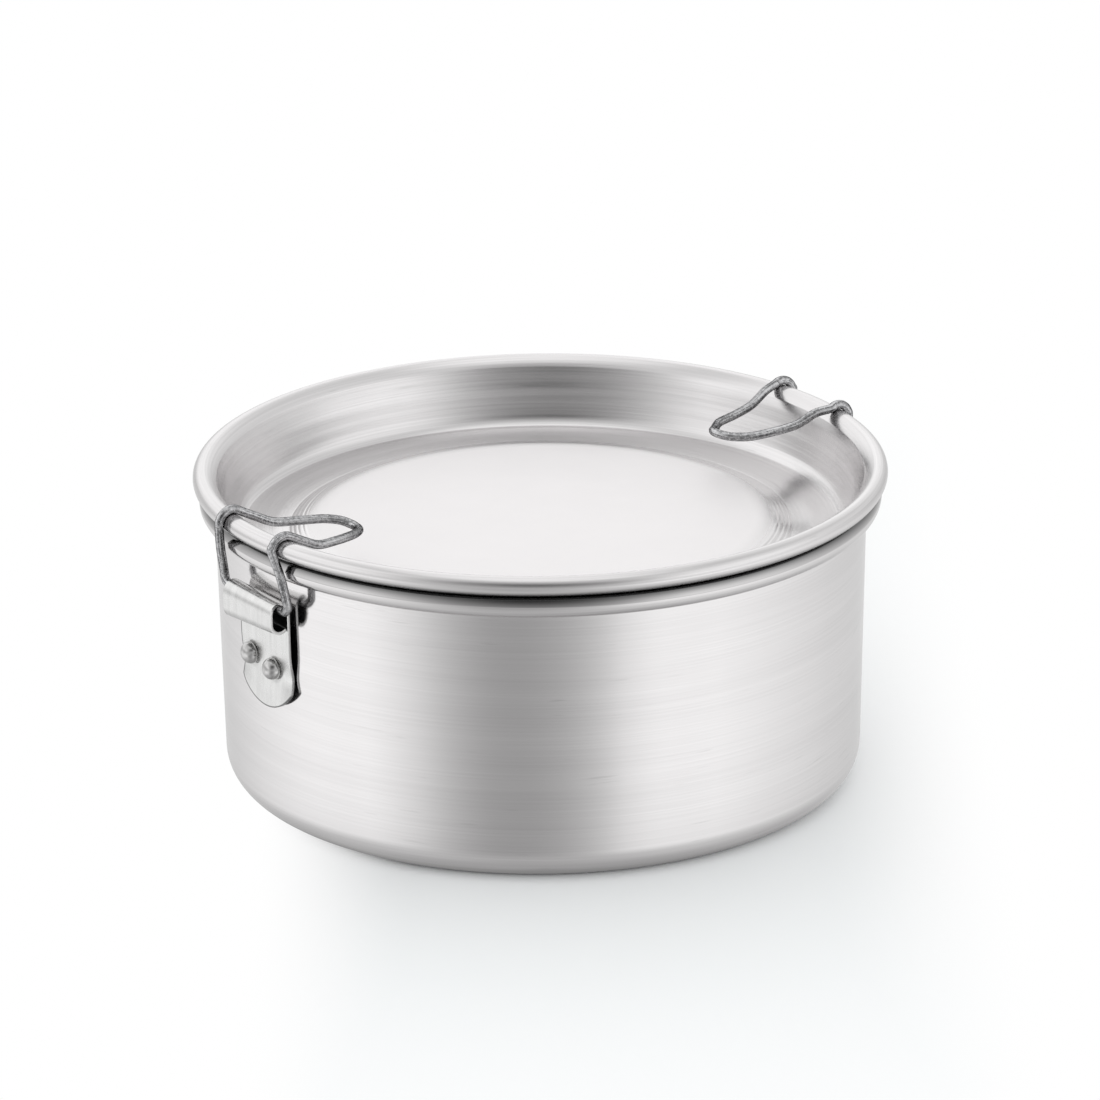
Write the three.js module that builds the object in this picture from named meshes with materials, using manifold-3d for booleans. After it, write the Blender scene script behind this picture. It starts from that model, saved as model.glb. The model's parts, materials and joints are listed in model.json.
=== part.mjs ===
// A round aluminium lunch box: a spun pot with a rolled rim, a dished lid that plugs into its mouth, and
// two spring-wire bails that swing in riveted brackets and hook over the rim of the lid.
// Millimetres, +Z up, origin under the middle of the base, with the two clips on the X axis.

import * as THREE from "three";
import { mergeVertices } from "three/addons/utils/BufferGeometryUtils.js";
import Module from "manifold-3d";

const { degToRad } = THREE.MathUtils;

// Pot: one aluminium sheet, spun to shape, with its rim rolled outwards
const MOUTH_RADIUS = 90; // inside of the wall at the rim
const POT_HEIGHT = 85; // table to top of the rim
const POT_SHEET = 1;
const WALL_DRAFT = 1.8; // how much smaller the wall's radius is at the base
const BASE_CORNER = 9; // outer radius between base and wall
const POT_BEAD = 5.2; // diameter of the rolled rim

// Lid: a second sheet, dished to plug into the mouth, with its rim rolled over the pot's
const LID_SHEET = 1;
const LID_BEAD = 5.4;
const LID_OVERHANG = 1.6; // how far the lid's bead stands out past the pot's
const PLUG_DEPTH = 14; // top of the pot's rim to the underside of the gutter
const PLUG_DRAFT = degToRad(19); // lean of the plug's wall
const PLUG_FLARE = degToRad(45); // lean of the band between the plug's wall and the bead
const FLARE_FILLET = 3;
const GUTTER_FILLET = 2;
const GUTTER_WIDTH = 13; // flat ring round the raised middle
const STEP_WIDTH = 3.7; // slope between gutter and middle
const STEP_FILLET = 1.5;
const PLATEAU_RISE = 1.9; // raised middle above the gutter
const CURL_TURN = degToRad(285); // how far both rims are rolled round

// Bracket: tinplate, curled at the top into an oval barrel for the ends of the wire
const BRACKET_SHEET = 0.6;
const BRACKET_WIDTH = 24;
const BORE_WIDTH = 4.9;
const BORE_HEIGHT = 7.8;
const BORE_DROP = 17.3; // top of the pot's rim to the middle of the bore
const BARREL_LEAN = 0.5; // how far the barrel stands out from the tongue
const TONGUE_LENGTH = 29.5; // middle of the bore to the end of the tongue
const TONGUE_SAG = 5.8; // depth of the arc that ends the tongue

// Rivets: two through each bracket and the wall, domed outside and flattened inside
const RIVET_DROP = 15.9; // middle of the bore to the rivets
const RIVET_INSET = 5.8; // side of the bracket to the middle of a rivet
const RIVET_SHANK = 3;
const RIVET_HEAD = 6.3;
const RIVET_HEAD_HEIGHT = 3.1;
const FORMED_HEAD = 5;
const FORMED_HEAD_HEIGHT = 1;

// Bail: one length of spring wire, from one end of the barrel over the rim and back to the other
const WIRE = 2.2;
const PIN_LENGTH = 6.2; // straight end inside the barrel
const BEND_RADIUS = 2.5; // middle of the wire, between pin and leg
const RIM_SPREAD = 26.6; // between the two strands where they cross the rim
const FINGER_SPREAD = 16.5; // between the two strands of the finger loop
const FINGER_RISE = 15; // finger loop above the pivot where it leaves the hook
const FINGER_STRAIGHT = 5; // from there to the round tip
const FINGER_SLOPE = degToRad(9);

// Opening: the bails swing out as the lid rises, and the hook's curve keeps clear of the rising bead
const LID_LIFT = 16;
const BAIL_SWING = Math.PI;

// Clearances
const SEAT_GAP = 0.3; // between pieces that touch
const MOUTH_CLEARANCE = 0.4; // plug in the mouth
const RIVET_CLEARANCE = 0.3; // round a rivet's shank
const BARREL_PLAY = 0.5; // end of the barrel to the start of the wire's bend
const HOOK_CLEARANCE = 0.6; // wire to the lid's bead, at rest and while both move

// Fineness of the facets
const RIM_SEGMENTS = 48;
const RIVET_SEGMENTS = 12;
const ARC_STEP = degToRad(30); // pot and lid
const FINE_ARC_STEP = degToRad(15); // clips
const SEARCH_STEP = degToRad(0.5); // along the hook, to find where the finger starts
const WIRE_SIDES = 8;
const WIRE_STEPS = 96;

const wasm = await Module();
wasm.setup();

const point = (x, y) => new THREE.Vector2(x, y);

// Points along an arc in a section.
function arc(centre, radius, from, to, step = ARC_STEP) {
  const count = Math.ceil(Math.abs(to - from) / step);
  return Array.from({ length: count + 1 }, (_, i) => {
    const angle = from + ((to - from) * i) / count;
    return point(centre.x + radius * Math.cos(angle), centre.y + radius * Math.sin(angle));
  });
}

// Points along a line through corners, each rounded by its fillet where it has one.
function filletedLine(corners) {
  return corners.flatMap(({ at, fillet }, i) => {
    if (!fillet) return [at];
    const arriving = at.clone().sub(corners[i - 1].at).normalize();
    const leaving = corners[i + 1].at.clone().sub(at).normalize();
    const turn = Math.atan2(arriving.cross(leaving), arriving.dot(leaving));
    const start = at.clone().addScaledVector(arriving, -fillet * Math.tan(Math.abs(turn) / 2));
    const side = point(-arriving.y, arriving.x).multiplyScalar(Math.sign(turn));
    const centre = start.clone().addScaledVector(side, fillet);
    const count = Math.ceil(Math.abs(turn) / ARC_STEP);
    const turned = (k) => start.clone().rotateAround(centre, (turn * k) / count);
    return Array.from({ length: count + 1 }, (_, k) => turned(k));
  });
}

// Where two lines, each a point and a direction, cross.
function crossing(p, along, q, across) {
  const reach = q.clone().sub(p).cross(across) / along.cross(across);
  return p.clone().addScaledVector(along, reach);
}

// Closed outline of a bent sheet whose middle follows an open line.
function sheetOutline(line, thickness) {
  const runs = line.slice(1).map((end, i) => end.clone().sub(line[i]).normalize());
  const edge = (side) =>
    line.map((at, i) => {
      const arriving = runs[Math.max(i - 1, 0)];
      const leaving = runs[Math.min(i, runs.length - 1)];
      const mean = arriving.clone().add(leaving).normalize();
      const mitre = (side * thickness) / 2 / mean.dot(arriving);
      return point(at.x - mean.y * mitre, at.y + mean.x * mitre);
    });
  return [...edge(-1), ...edge(1).reverse()];
}

// A section in radius and height, spun about Z.
function spun(outline, segments) {
  return new THREE.LatheGeometry(outline, segments).rotateX(Math.PI / 2);
}

// A section extruded along one axis: its x and y run along the given directions.
function extruded(outline, depth, xAlong, yAlong) {
  const block = new THREE.ExtrudeGeometry(new THREE.Shape(outline), { depth, bevelEnabled: false });
  const depthAlong = new THREE.Vector3().crossVectors(xAlong, yAlong);
  const placing = new THREE.Matrix4().makeBasis(xAlong, yAlong, depthAlong);
  return block.translate(0, 0, -depth / 2).applyMatrix4(placing);
}

const OUT = new THREE.Vector3(1, 0, 0);
const ACROSS = new THREE.Vector3(0, 1, 0);
const UP = new THREE.Vector3(0, 0, 1);

// A closed geometry as a solid that can be cut, and back again.
function solid(geometry) {
  const bare = geometry.clone();
  bare.deleteAttribute("normal");
  bare.deleteAttribute("uv");
  const merged = mergeVertices(bare, 1e-4);
  const corners = merged.index.array;
  const kept = [];
  for (let i = 0; i < corners.length; i += 3) {
    const [a, b, c] = corners.slice(i, i + 3);
    if (a !== b && b !== c && c !== a) kept.push(a, b, c);
  }
  const vertProperties = merged.getAttribute("position").array;
  const triVerts = new Uint32Array(kept);
  return new wasm.Manifold(new wasm.Mesh({ numProp: 3, vertProperties, triVerts }));
}

function geometryOf(manifold) {
  const { vertProperties, triVerts } = manifold.getMesh();
  const geometry = new THREE.BufferGeometry();
  geometry.setAttribute("position", new THREE.BufferAttribute(vertProperties, 3));
  geometry.setIndex(new THREE.BufferAttribute(triVerts, 1));
  geometry.computeVertexNormals();
  return geometry;
}

function named(name, geometry, look) {
  const mesh = new THREE.Mesh(geometry, new THREE.MeshStandardMaterial(look));
  mesh.name = name;
  return mesh;
}

const SPUN_ALUMINIUM = { color: 0xd8d6d2, metalness: 1, roughness: 0.26 };
const TINPLATE = { color: 0xc9c8c4, metalness: 1, roughness: 0.3 };
const RIVET_METAL = { color: 0xcfcecb, metalness: 1, roughness: 0.22 };
const GALVANISED_WIRE = { color: 0x85868a, metalness: 1, roughness: 0.42 };

// Pot and lid share the places of the two beads: the lid's rests on the pot's.
const potBeadRadius = POT_BEAD / 2;
const lidBeadRadius = LID_BEAD / 2;
const potBead = point(MOUTH_RADIUS + potBeadRadius, POT_HEIGHT - potBeadRadius);
const beadOffset = potBeadRadius + LID_OVERHANG - lidBeadRadius;
const beadReach = potBeadRadius + lidBeadRadius + SEAT_GAP;
const lidBead = point(potBead.x + beadOffset, potBead.y + Math.sqrt(beadReach ** 2 - beadOffset ** 2));
const curlEnd = Math.PI - CURL_TURN;

// Outer radius of the pot's wall at a height: it narrows evenly from the rim to the base.
function wallRadius(z) {
  const below = (potBead.y - z) / (potBead.y - POT_SHEET / 2);
  return MOUTH_RADIUS + POT_SHEET - WALL_DRAFT * below;
}

function potSolid() {
  const middle = POT_SHEET / 2;
  const curl = arc(potBead, potBeadRadius - middle, Math.PI, curlEnd);
  const baseCorner = point(wallRadius(middle) - middle, middle);
  const line = filletedLine([
    { at: point(0, middle) },
    { at: baseCorner, fillet: BASE_CORNER - middle },
    { at: curl[0] },
  ]);
  return solid(spun(sheetOutline([...line, ...curl.slice(1)], POT_SHEET), RIM_SEGMENTS));
}

function lidGeometry() {
  const middle = LID_SHEET / 2;
  const gutterZ = POT_HEIGHT - PLUG_DEPTH + middle;
  const lean = (angle) => point(Math.sin(angle), Math.cos(angle));
  const inwards = (angle) => point(-Math.cos(angle), Math.sin(angle));

  // The plug's wall passes the pot's bead, and the flare runs up into the lid's own bead.
  const passing = potBeadRadius + MOUTH_CLEARANCE + middle;
  const wall = potBead.clone().addScaledVector(inwards(PLUG_DRAFT), passing);
  const curl = arc(lidBead, lidBeadRadius - middle, Math.PI - PLUG_FLARE, curlEnd);
  const flareCorner = crossing(wall, lean(PLUG_DRAFT), curl[0], lean(PLUG_FLARE));
  const gutterCorner = crossing(wall, lean(PLUG_DRAFT), point(0, gutterZ), point(1, 0));
  const stepFoot = point(gutterCorner.x - GUTTER_WIDTH, gutterZ);
  const plateauEdge = point(stepFoot.x - STEP_WIDTH, gutterZ + PLATEAU_RISE);

  const line = filletedLine([
    { at: point(0, plateauEdge.y) },
    { at: plateauEdge, fillet: STEP_FILLET },
    { at: stepFoot, fillet: STEP_FILLET },
    { at: gutterCorner, fillet: GUTTER_FILLET },
    { at: flareCorner, fillet: FLARE_FILLET },
    { at: curl[0] },
  ]);
  return spun(sheetOutline([...line, ...curl.slice(1)], LID_SHEET), RIM_SEGMENTS);
}

// Each clip is built facing +X: x outwards from the wall, y along the rim.
const boreZ = POT_HEIGHT - BORE_DROP;
const rivetZ = boreZ - RIVET_DROP;
const tongueX = wallRadius(rivetZ) + SEAT_GAP + BRACKET_SHEET / 2;
const barrelRadius = (BORE_WIDTH + BRACKET_SHEET) / 2;
const barrelX = tongueX + BARREL_LEAN + barrelRadius;
const boreStraight = (BORE_HEIGHT - BORE_WIDTH) / 2;
const pivot = point(barrelX, boreZ + BORE_HEIGHT / 2 - SEAT_GAP - WIRE / 2);
const rivetY = BRACKET_WIDTH / 2 - RIVET_INSET;
const rivetYs = [-rivetY, rivetY];

// Rods along X that cut the holes for a pair of rivets.
function rivetHoles() {
  const radius = RIVET_SHANK / 2 + RIVET_CLEARANCE;
  const depth = RIVET_HEAD + BORE_WIDTH;
  const rods = rivetYs.map((y) => {
    const rod = new THREE.CylinderGeometry(radius, radius, depth, RIVET_SEGMENTS).rotateZ(Math.PI / 2);
    return solid(rod.translate(tongueX, y, rivetZ));
  });
  return rods[0].add(rods[1]);
}

function bracketGeometry() {
  const knee = rivetZ + RIVET_HEAD / 2;
  const tip = boreZ - TONGUE_LENGTH;
  const seam = Math.acos((BRACKET_SHEET + SEAT_GAP) / barrelRadius - 1);
  const line = [
    point(tongueX, tip),
    point(tongueX, knee),
    point(barrelX - barrelRadius, boreZ - boreStraight),
    ...arc(point(barrelX, boreZ + boreStraight), barrelRadius, Math.PI, 0, FINE_ARC_STEP),
    ...arc(point(barrelX, boreZ - boreStraight), barrelRadius, 0, -seam, FINE_ARC_STEP),
  ];
  const bent = solid(extruded(sheetOutline(line, BRACKET_SHEET), BRACKET_WIDTH, OUT, UP));

  // Front view of the blank: straight sides, and an arc across the end of the tongue.
  const half = BRACKET_WIDTH / 2;
  const tipRadius = (half ** 2 + TONGUE_SAG ** 2) / (2 * TONGUE_SAG);
  const sweep = Math.asin(half / tipRadius);
  const down = -Math.PI / 2;
  const end = arc(point(0, tip + tipRadius), tipRadius, down - sweep, down + sweep, FINE_ARC_STEP);
  const blank = [...end, point(half, POT_HEIGHT), point(-half, POT_HEIGHT)];
  const depth = 2 * (barrelX + barrelRadius + BRACKET_SHEET);
  return geometryOf(bent.intersect(solid(extruded(blank, depth, ACROSS, UP))).subtract(rivetHoles()));
}

// Points of a dome's section, from its rim up to the axis.
function dome(width, height, base) {
  const radius = width / 2;
  const sphere = (radius ** 2 + height ** 2) / (2 * height);
  const centre = point(0, base + height - sphere);
  return arc(centre, sphere, Math.atan2(sphere - height, radius), Math.PI / 2, FINE_ARC_STEP);
}

function rivetGeometry() {
  const shank = RIVET_SHANK / 2;
  const headSeat = tongueX + BRACKET_SHEET / 2 + SEAT_GAP;
  const innerFlat = (wallRadius(rivetZ) - POT_SHEET) * Math.cos(Math.PI / RIM_SEGMENTS);
  const formedSeat = Math.sqrt(innerFlat ** 2 - (rivetY + FORMED_HEAD / 2) ** 2) - SEAT_GAP;
  const formed = dome(FORMED_HEAD, FORMED_HEAD_HEIGHT, -formedSeat).map((at) => point(at.x, -at.y));
  const outline = [
    ...formed.reverse(),
    point(shank, formedSeat),
    point(shank, headSeat),
    ...dome(RIVET_HEAD, RIVET_HEAD_HEIGHT, headSeat),
  ];
  return spun(outline, RIVET_SEGMENTS).rotateY(Math.PI / 2);
}

// One strand of the wire, from its pin to the middle of the finger's tip. Inwards and up are measured
// from the pivot. Seen from the swinging bail, the lid's bead travels along a spiral about the pivot,
// and the hook runs outside that spiral.
function strand() {
  const crossY = RIM_SPREAD / 2;
  const bead = point(pivot.x - Math.sqrt(lidBead.x ** 2 - crossY ** 2), lidBead.y - pivot.y);
  const standOff = lidBeadRadius + HOOK_CLEARANCE + WIRE / 2;
  const climb = LID_LIFT / BAIL_SWING;
  const hook = (swing) => {
    const rise = bead.y + climb * swing;
    const away = point(bead.x - climb, rise).setLength(standOff);
    return point(bead.x + away.x, rise + away.y).rotateAround(point(0, 0), -swing);
  };
  const points = [];
  const add = (inwards, y, up) => points.push(new THREE.Vector3(pivot.x - inwards, y, pivot.y + up));

  // Pin, bend and leg
  const bendY = BRACKET_WIDTH / 2 + BARREL_PLAY;
  const legY = bendY + BEND_RADIUS;
  add(0, bendY - PIN_LENGTH, 0);
  add(0, bendY - PIN_LENGTH / 2, 0);
  for (const at of arc(point(bendY, BEND_RADIUS), BEND_RADIUS, -Math.PI / 2, 0)) add(0, at.x, at.y);
  const legFoot = point(0, BEND_RADIUS);
  const toBead = bead.clone().sub(legFoot);
  const legLean = Math.atan2(toBead.x, toBead.y) - Math.asin(standOff / toBead.length());
  const legRun = Math.sqrt(toBead.lengthSq() - standOff ** 2);
  for (const share of [1 / 3, 2 / 3]) {
    const y = THREE.MathUtils.lerp(legY, crossY, share);
    add(legRun * share * Math.sin(legLean), y, BEND_RADIUS + legRun * share * Math.cos(legLean));
  }

  // Round the outside of the bead at rest, then along the spiral down to the finger
  const crest = hook(0).sub(bead).angle();
  for (const at of arc(bead, standOff, Math.PI - legLean, crest)) add(at.x, crossY, at.y);
  let hookEnd = 0;
  while (hook(hookEnd).y > FINGER_RISE) hookEnd += SEARCH_STEP;
  const hookStart = hook(0).x;
  const fingerStart = hook(hookEnd).x;
  const tipStart = fingerStart + FINGER_STRAIGHT;
  const fingerY = FINGER_SPREAD / 2;
  const spreadAt = (x) => THREE.MathUtils.mapLinear(x, hookStart, tipStart, crossY, fingerY);
  const hookSteps = Math.ceil(hookEnd / FINE_ARC_STEP);
  for (let i = 1; i <= hookSteps; i += 1) {
    const at = hook((hookEnd * i) / hookSteps);
    add(at.x, spreadAt(at.x), at.y);
  }

  // Straight finger and its round tip
  const fall = (x) => FINGER_RISE - (x - fingerStart) * Math.tan(FINGER_SLOPE);
  for (const at of arc(point(tipStart, 0), fingerY, Math.PI / 2, 0)) add(at.x, at.y, fall(at.x));
  return points;
}

function bailGeometry() {
  const near = strand();
  const far = near.slice(0, -1).reverse().map((at) => new THREE.Vector3(at.x, -at.y, at.z));
  const extrudePath = new THREE.CatmullRomCurve3([...near, ...far], false, "centripetal");
  const round = new THREE.Shape(
    Array.from({ length: WIRE_SIDES }, (_, i) => {
      const angle = (2 * Math.PI * i) / WIRE_SIDES;
      return point((WIRE / 2) * Math.cos(angle), (WIRE / 2) * Math.sin(angle));
    }),
  );
  return new THREE.ExtrudeGeometry(round, { steps: WIRE_STEPS, extrudePath, bevelEnabled: false });
}

// One clip with its bracket, two rivets and bail, turned to its side of the box.
function clip(side, heading) {
  const group = new THREE.Group();
  group.add(named(`bracket_${side}`, bracketGeometry(), TINPLATE));
  group.add(named(`bail_${side}`, bailGeometry(), GALVANISED_WIRE));
  for (const y of rivetYs) {
    const place = y * Math.cos(heading) < 0 ? "front" : "rear";
    const rivet = named(`rivet_${side}_${place}`, rivetGeometry(), RIVET_METAL);
    rivet.position.set(0, y, rivetZ);
    group.add(rivet);
  }
  group.rotation.z = heading;
  return group;
}

const holes = rivetHoles();
const pot = potSolid().subtract(holes).subtract(holes.rotate([0, 0, 180]));

const lunchBox = new THREE.Group();
lunchBox.add(named("pot_body", geometryOf(pot), SPUN_ALUMINIUM));
lunchBox.add(named("lid", lidGeometry(), SPUN_ALUMINIUM));
lunchBox.add(clip("left", Math.PI));
lunchBox.add(clip("right", 0));

export default lunchBox;
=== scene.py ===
"""A round aluminium lunch box: a spun pot, riveted clips, a dished lid and two spring-wire bails."""

import json
import math

import bpy
from mathutils import Matrix, Vector


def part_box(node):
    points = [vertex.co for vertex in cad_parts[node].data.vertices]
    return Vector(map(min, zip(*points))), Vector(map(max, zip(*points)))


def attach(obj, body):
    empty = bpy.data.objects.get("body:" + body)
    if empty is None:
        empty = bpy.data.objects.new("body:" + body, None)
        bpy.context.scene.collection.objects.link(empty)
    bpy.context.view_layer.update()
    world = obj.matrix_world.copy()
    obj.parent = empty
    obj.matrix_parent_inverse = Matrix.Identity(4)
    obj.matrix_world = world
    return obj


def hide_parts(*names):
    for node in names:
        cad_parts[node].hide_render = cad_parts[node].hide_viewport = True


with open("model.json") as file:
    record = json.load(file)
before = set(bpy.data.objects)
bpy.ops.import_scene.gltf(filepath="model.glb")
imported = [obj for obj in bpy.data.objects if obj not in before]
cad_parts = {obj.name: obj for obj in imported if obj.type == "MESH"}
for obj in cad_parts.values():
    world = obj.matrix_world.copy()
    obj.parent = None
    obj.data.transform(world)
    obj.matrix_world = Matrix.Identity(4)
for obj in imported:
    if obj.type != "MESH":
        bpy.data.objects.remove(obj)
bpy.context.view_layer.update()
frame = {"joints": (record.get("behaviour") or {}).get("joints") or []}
scene = bpy.context.scene
MM = 0.001


# Pot. One round sheet of aluminium, spun over a former in a lathe: a flat base, a rounded corner, a wall
# that widens a little towards the mouth, and a rim rolled outwards into a hollow bead. The forming tool
# leaves fine lines round it.
POT_SHEET = 1.0 * MM
MOUTH_RADIUS = 90 * MM
POT_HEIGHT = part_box("pot_body")[1].z
WALL_DRAFT = 1.8 * MM
BASE_CORNER = 9 * MM
POT_BEAD = 5.2 * MM
BEAD_STRETCH = 1.28
BEAD_SHOULDER = 3.15 * MM
SHOULDER_FILLET = 0.5 * MM
FLANK_START = math.radians(45)
FLANK_END = math.radians(-20)
CURL_TURN = math.radians(285)
RINGS_ON_FLAT = 9
BASE_CORNER_STEPS = 14
BEAD_TOP_STEPS = 20
BEAD_UNDER_STEPS = 12
SHOULDER_STEPS = 6
SHEET_EDGE_STEPS = 6
STEPS_ROUND = 240
MERGE_DISTANCE = 0.001 * MM

# Lines that the tool leaves: spacing, change round the axis, and detail
FINE_LINES = (0.45 * MM, 1.3, 2.0)
BROAD_BANDS = (6 * MM, 0.7, 1.0)
NICKS = (1.3 * MM, 5.0, 2.0)
LINE_ROUGHNESS = 0.6
LINE_HEIGHT = 0.02 * MM
LINE_STRENGTH = 0.25
ANISOTROPY = 0.7
ANISOTROPY_TURN = 0.25
CLOUDS_PER_METRE = 60.0
CLOUD_DETAIL = 4.0
# Ranges that hold nearly all of two noises added, and the few peaks that become nicks
TWO_NOISES = (0.7, 1.3)
NICK_PEAKS = (0.66, 0.74)
BARE_LEVEL = 0.702
LESS_GREEN = 0.012
LESS_BLUE = 0.010
NICK_COLOUR = (0.64, 0.63, 0.63, 1)
# Painted shade: a dark grey laid where the two rims shade each other, and how far it fades out
PAINTED_CREVICE_SHADE = (0.15, 0.15, 0.15, 1)
CREVICE_SHADE_FADE = 0.5 * MM
POT_GRAIN = 0.03
POT_ROUGHNESS = (0.10, 0.15)
POT_WAVE = 0.015 * MM
# Heights and radius of the painted shade on top of the pot's bead, under the lid's bead
POT_CREVICE_SHADE_HEIGHTS = (POT_HEIGHT - 3.3 * MM, POT_HEIGHT - 1.0 * MM)
POT_CREVICE_SHADE_RADIUS = 91 * MM


def arc(centre, radius, start, end, steps):
    """Points of a section along an arc."""
    turn = (end - start) / steps
    angles = [start + turn * i for i in range(steps + 1)]
    return [Vector((centre[0] + radius * math.cos(a), centre[1] + radius * math.sin(a))) for a in angles]


def rounded_line(corners, steps):
    """Points of a section through corners (point, fillet radius), each corner rounded by its fillet."""
    points = []
    for i, (corner, fillet) in enumerate(corners):
        if not fillet:
            points.append(Vector(corner))
            continue
        corner = Vector(corner)
        arriving = (corner - Vector(corners[i - 1][0])).normalized()
        leaving = (Vector(corners[i + 1][0]) - corner).normalized()
        turn = math.atan2(arriving.cross(leaving), arriving.dot(leaving))
        start = corner - arriving * fillet * math.tan(abs(turn) / 2)
        centre = start + Vector((-arriving.y, arriving.x)) * math.copysign(fillet, turn)
        spoke = start - centre
        for k in range(steps + 1):
            points.append(centre + Matrix.Rotation(turn * k / steps, 2) @ spoke)
    return points


def fine_line(line, longest):
    """The same line with extra points, so that no run is longer than a given length."""
    points = [line[0]]
    for a, b in zip(line, line[1:]):
        runs = math.ceil((b - a).length / longest)
        points += [a.lerp(b, (k + 1) / runs) for k in range(runs)]
    return points


def sheet_section(line, thickness):
    """Outline of a bent sheet whose middle follows a line from the axis: out along one face, round the
    edge of the sheet, and back along the other face to the axis."""
    def face(side):
        points = []
        for i, at in enumerate(line):
            along = (line[min(i + 1, len(line) - 1)] - line[max(i - 1, 0)]).normalized()
            points.append(at + Vector((along.y, -along.x)) * side * thickness / 2)
        return points
    under, over = face(1), face(-1)
    along = (line[-1] - line[-2]).normalized()
    heading = math.atan2(along.y, along.x)
    edge = arc(line[-1], thickness / 2, heading - math.pi / 2, heading + math.pi / 2, SHEET_EDGE_STEPS)
    outline = under[:-1] + edge + over[:-1][::-1]
    outline[0].x = outline[-1].x = 0.0
    return outline


def upright(section):
    """A section's points as points in XZ."""
    return [(p.x, 0, p.y) for p in section]


def node(tree, kind, inputs=(), **settings):
    """Adds a node to a tree. Each input is linked if it is given a socket, and set if given a value."""
    made = tree.nodes.new(kind)
    for name, value in settings.items():
        setattr(made, name, value)
    for socket, value in dict(inputs).items():
        if isinstance(value, bpy.types.NodeSocket):
            tree.links.new(value, made.inputs[socket])
        else:
            made.inputs[socket].default_value = value
    return made


def maths(tree, operation, a, b=0.0):
    """A number worked out from one or two others."""
    return node(tree, "ShaderNodeMath", {0: a, 1: b}, operation=operation).outputs[0]


def vector_maths(tree, operation, a, b=(0, 0, 0)):
    """What a Vector Math node works out: its Vector and its Value."""
    return node(tree, "ShaderNodeVectorMath", {0: a, 1: b}, operation=operation).outputs


def parts_of(tree, vector):
    """The X, Y and Z of a vector."""
    return node(tree, "ShaderNodeSeparateXYZ", {0: vector}).outputs


def noise(tree, place, scale, detail, fourth=None, roughness=0.5):
    """Noise over a place, and over a fourth coordinate if one is given: its Fac and its Color."""
    inputs = {"Vector": place, "Scale": scale, "Detail": detail, "Roughness": roughness}
    if fourth is None:
        return node(tree, "ShaderNodeTexNoise", inputs).outputs
    return node(tree, "ShaderNodeTexNoise", {**inputs, "W": fourth}, noise_dimensions="4D").outputs


def spread(tree, value, given, wanted=(0, 1)):
    """A value mapped from one range to another, clamped."""
    ranges = {"From Min": given[0], "From Max": given[1], "To Min": wanted[0], "To Max": wanted[1]}
    return node(tree, "ShaderNodeMapRange", {"Value": value, **ranges}).outputs[0]


def blend_colours(tree, share, first, second):
    """A colour between two, by a share."""
    return node(tree, "ShaderNodeMix", {0: share, 6: first, 7: second}, data_type="RGBA").outputs[2]


def relief(tree, height, strength, distance, normal=None):
    """A surface's normal with small bumps, over another normal if one is given."""
    inputs = {"Strength": strength, "Distance": distance, "Height": height}
    if normal is not None:
        inputs["Normal"] = normal
    return node(tree, "ShaderNodeBump", inputs).outputs[0]


def geometry_tree(name, sizes):
    """A new Geometry Nodes tree with a geometry input, named inputs for its sizes, and a metal."""
    tree = bpy.data.node_groups.new(name, "GeometryNodeTree")
    sockets = {"Drawing": "NodeSocketGeometry", **sizes, "Metal": "NodeSocketMaterial"}
    for label, kind in sockets.items():
        tree.interface.new_socket(label, in_out="INPUT", socket_type=kind)
    tree.interface.new_socket("Piece", in_out="OUTPUT", socket_type="NodeSocketGeometry")
    return tree, tree.nodes.new("NodeGroupInput").outputs


def close_tree(tree, given, geometry):
    """Ends a tree: smooth, realised and with its metal."""
    smooth = node(tree, "GeometryNodeSetShadeSmooth", {"Geometry": geometry})
    realised = node(tree, "GeometryNodeRealizeInstances", {0: smooth.outputs[0]})
    metal = node(tree, "GeometryNodeSetMaterial",
                 {"Geometry": realised.outputs[0], "Material": given["Metal"]})
    tree.links.new(metal.outputs[0], tree.nodes.new("NodeGroupOutput").inputs[0])
    return tree


def spinning_tree():
    """Spins a half section, drawn from the axis out and back as a row of points in XZ, about Z."""
    tree, given = geometry_tree("spin_sheet", {"Steps round": "NodeSocketInt"})
    row = node(tree, "GeometryNodeAttributeDomainSize", {0: given["Drawing"]}).outputs["Point Count"]
    columns = maths(tree, "ADD", given["Steps round"], 1.0)
    grid = node(tree, "GeometryNodeMeshGrid", {"Vertices X": columns, "Vertices Y": row})
    index = node(tree, "GeometryNodeInputIndex").outputs[0]
    place = maths(tree, "MODULO", index, row)
    column = maths(tree, "FLOOR", maths(tree, "DIVIDE", index, row))
    turn = maths(tree, "DIVIDE", column, given["Steps round"])
    angle = maths(tree, "MULTIPLY", turn, 2 * math.pi)
    where = node(tree, "GeometryNodeInputPosition").outputs[0]
    drawn = node(tree, "GeometryNodeSampleIndex",
                 {"Geometry": given["Drawing"], "Value": where, "Index": place}, data_type="FLOAT_VECTOR")
    spun = node(tree, "ShaderNodeVectorRotate",
                {"Vector": drawn.outputs["Value"], "Angle": angle}, rotation_type="Z_AXIS")
    placed = node(tree, "GeometryNodeSetPosition",
                  {"Geometry": grid.outputs["Mesh"], "Position": spun.outputs[0]})
    joined = node(tree, "GeometryNodeMergeByDistance",
                  {"Geometry": placed.outputs[0], "Distance": MERGE_DISTANCE})
    return close_tree(tree, given, joined.outputs[0])


def drawing(name, points, linked=False):
    """An object of points alone, linked in a row or loose, for a Geometry Nodes tree to work from."""
    mesh = bpy.data.meshes.new(name)
    edges = [(i, i + 1) for i in range(len(points) - 1)] if linked else []
    mesh.from_pydata([tuple(p) for p in points], edges, [])
    made = bpy.data.objects.new(name, mesh)
    scene.collection.objects.link(made)
    return made


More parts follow.
